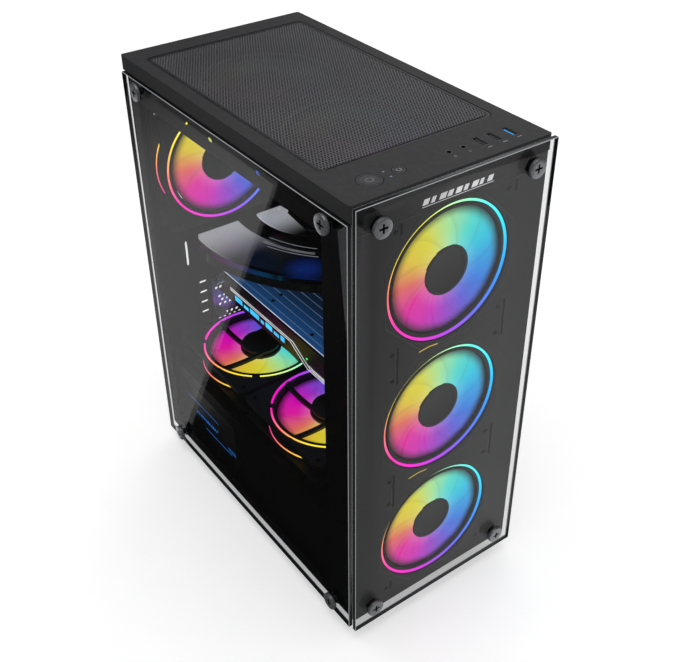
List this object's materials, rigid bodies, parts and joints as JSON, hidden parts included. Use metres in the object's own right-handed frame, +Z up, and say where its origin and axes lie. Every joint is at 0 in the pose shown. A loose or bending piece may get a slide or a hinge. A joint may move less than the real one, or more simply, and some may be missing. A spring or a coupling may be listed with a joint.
{
  "type": "desktop computer tower",
  "caption": "Upright desktop computer case with glass front and side panels held off by thumbscrews, perforated top, lit fans, graphics card and shrouded power supply.",
  "frame": {"origin": "middle of the bottom of the whole object's box, on the surface that the feet rest on", "axes": "+Z up, +X to the right of the front, +Y to the rear"},
  "size_m": [0.1884, 0.347, 0.4332],
  "materials": {
    "case_steel": "fine matt powder coat, black",
    "front_panel": "fine matt, black",
    "cover_plastic": "fine textured, charcoal",
    "filter_mesh": "perforated mesh, charcoal",
    "feet_plastic": "matt, black",
    "button_plastic": "satin, charcoal",
    "circuit_board": "solder mask, near black",
    "socket_metal": "plated",
    "socket_plastic": "satin, black",
    "light_guide": "clear light guide",
    "fan_plastic": "satin, black",
    "fan_blades": "frosted, lit from inside in rainbow colours",
    "fan_light": "frosted light ring, lit in rainbow colours",
    "silver_plate": "brushed",
    "hood_plastic": "gloss, black",
    "fin_metal": "mill finish",
    "card_plate": "satin, dark blue with fine lines",
    "card_plastic": "semi gloss, black with bright trim",
    "bracket_metal": "plated",
    "psu_steel": "matt powder coat, black",
    "glass": "clear dark tempered, polished edges",
    "screw_metal": "satin, with a black washer",
    "rubber_black": "matt",
    "switch_plastic": "gloss, black"
  },
  "bodies": {
    "case": {"chassis_floor": "case_steel", "rear_panel": "case_steel", "motherboard_tray": "case_steel", "front_frame": "front_panel", "side_frame": "case_steel", "top_frame": "case_steel", "feet": "feet_plastic", "psu_shroud": "case_steel", "top_cover": "cover_plastic", "front_io_board": "circuit_board", "usb_ports": "socket_metal", "audio_jacks": "socket_plastic", "status_leds": "light_guide", "slot_cover": "case_steel", "motherboard": "circuit_board", "board_components": "socket_plastic", "rear_io_ports": "socket_metal", "memory_modules": "silver_plate", "hood_body": "hood_plastic", "hood_lower_plate": "silver_plate", "hood_upper_plate": "silver_plate", "cpu_cooler": "fin_metal", "gpu_backplate": "card_plate", "gpu_board": "circuit_board", "gpu_shroud": "card_plastic", "gpu_heatsink": "fin_metal", "gpu_bracket": "bracket_metal", "psu_case": "psu_steel", "psu_inlet": "socket_plastic", "front_fan_1_frame": "fan_plastic", "front_fan_2_frame": "fan_plastic", "front_fan_3_frame": "fan_plastic", "rear_fan_frame": "fan_plastic", "top_fan_1_frame": "fan_plastic", "top_fan_2_frame": "fan_plastic", "shroud_fan_1_frame": "fan_plastic", "shroud_fan_2_frame": "fan_plastic", "fan_lights": "fan_light", "glass_standoffs": "rubber_black"},
    "front_fan_1": {"front_fan_1_rotor": "fan_blades"},
    "front_fan_2": {"front_fan_2_rotor": "fan_blades"},
    "front_fan_3": {"front_fan_3_rotor": "fan_blades"},
    "rear_fan": {"rear_fan_rotor": "fan_blades"},
    "top_fan_1": {"top_fan_1_rotor": "fan_blades"},
    "top_fan_2": {"top_fan_2_rotor": "fan_blades"},
    "shroud_fan_1": {"shroud_fan_1_rotor": "fan_blades"},
    "shroud_fan_2": {"shroud_fan_2_rotor": "fan_blades"},
    "gpu_fan_1": {"gpu_rotor_1": "fan_plastic"},
    "gpu_fan_2": {"gpu_rotor_2": "fan_plastic"},
    "psu_fan": {"psu_rotor": "fan_plastic"},
    "power_button": {"power_button": "button_plastic"},
    "reset_button": {"reset_button": "button_plastic"},
    "psu_switch": {"psu_switch": "switch_plastic"},
    "dust_filter": {"dust_filter": "filter_mesh"},
    "front_glass": {"front_glass": "glass"},
    "side_glass": {"side_glass": "glass"},
    "right_panel": {"right_panel": "case_steel"},
    "front_thumbscrews": {"front_thumbscrews": "screw_metal"},
    "side_thumbscrews": {"side_thumbscrews": "screw_metal"},
    "panel_thumbscrews": {"panel_thumbscrews": "screw_metal"}
  },
  "joints": [
    {"name": "front_fan_1_spin", "type": "hinge", "parent": "case", "child": "front_fan_1", "pos_m": [0.00272, -0.148, 0.3473], "axis": [0, -1, 0], "continuous": true},
    {"name": "front_fan_2_spin", "type": "hinge", "parent": "case", "child": "front_fan_2", "pos_m": [0.00272, -0.148, 0.2173], "axis": [0, -1, 0], "continuous": true},
    {"name": "front_fan_3_spin", "type": "hinge", "parent": "case", "child": "front_fan_3", "pos_m": [0.00272, -0.148, 0.0873], "axis": [0, -1, 0], "continuous": true},
    {"name": "rear_fan_spin", "type": "hinge", "parent": "case", "child": "rear_fan", "pos_m": [-0.01328, 0.153, 0.321], "axis": [0, -1, 0], "continuous": true},
    {"name": "top_fan_1_spin", "type": "hinge", "parent": "case", "child": "top_fan_1", "pos_m": [0.00272, -0.0475, 0.407], "axis": [0, 0, 1], "continuous": true},
    {"name": "top_fan_2_spin", "type": "hinge", "parent": "case", "child": "top_fan_2", "pos_m": [0.00272, 0.0775, 0.407], "axis": [0, 0, 1], "continuous": true},
    {"name": "shroud_fan_1_spin", "type": "hinge", "parent": "case", "child": "shroud_fan_1", "pos_m": [-0.00928, 0.099, 0.12], "axis": [0, 0, -1], "continuous": true},
    {"name": "shroud_fan_2_spin", "type": "hinge", "parent": "case", "child": "shroud_fan_2", "pos_m": [-0.00928, -0.026, 0.12], "axis": [0, 0, -1], "continuous": true},
    {"name": "gpu_fan_1_spin", "type": "hinge", "parent": "case", "child": "gpu_fan_1", "pos_m": [0.02792, 0.1015, 0.163], "axis": [0, 0, -1], "continuous": true},
    {"name": "gpu_fan_2_spin", "type": "hinge", "parent": "case", "child": "gpu_fan_2", "pos_m": [0.02792, 0.0115, 0.163], "axis": [0, 0, -1], "continuous": true},
    {"name": "psu_fan_spin", "type": "hinge", "parent": "case", "child": "psu_fan", "pos_m": [0.00172, 0.0955, 0.031], "axis": [0, 0, -1], "continuous": true},
    {"name": "power_button_press", "type": "slide", "parent": "case", "child": "power_button", "axis": [0, 0, 1], "range_m": [-0.0015, 0], "stiffness_N_per_m": 300, "springref_m": 0.001},
    {"name": "reset_button_press", "type": "slide", "parent": "case", "child": "reset_button", "axis": [0, 0, 1], "range_m": [-0.0012, 0], "stiffness_N_per_m": 300, "springref_m": 0.001},
    {"name": "psu_switch_rock", "type": "hinge", "parent": "case", "child": "psu_switch", "pos_m": [-0.01427, 0.1605, 0.078], "axis": [1, 0, 0], "range_deg": [-16, 0]},
    {"name": "dust_filter_lift", "type": "slide", "parent": "case", "child": "dust_filter", "axis": [0, 0, 1], "range_m": [0, 0.08]},
    {"name": "front_glass_pull", "type": "slide", "parent": "case", "child": "front_glass", "axis": [0, -1, 0], "range_m": [0, 0.1]},
    {"name": "front_thumbscrews_out", "type": "slide", "parent": "front_glass", "child": "front_thumbscrews", "axis": [0, -1, 0], "range_m": [0, 0.02]},
    {"name": "side_glass_pull", "type": "slide", "parent": "case", "child": "side_glass", "axis": [-1, 0, 0], "range_m": [0, 0.1]},
    {"name": "side_thumbscrews_out", "type": "slide", "parent": "side_glass", "child": "side_thumbscrews", "axis": [-1, 0, 0], "range_m": [0, 0.02]},
    {"name": "right_panel_slide", "type": "slide", "parent": "case", "child": "right_panel", "axis": [0, 1, 0], "range_m": [0, 0.02]},
    {"name": "panel_thumbscrews_out", "type": "slide", "parent": "right_panel", "child": "panel_thumbscrews", "axis": [0, 1, 0], "range_m": [0, 0.012]}
  ]
}
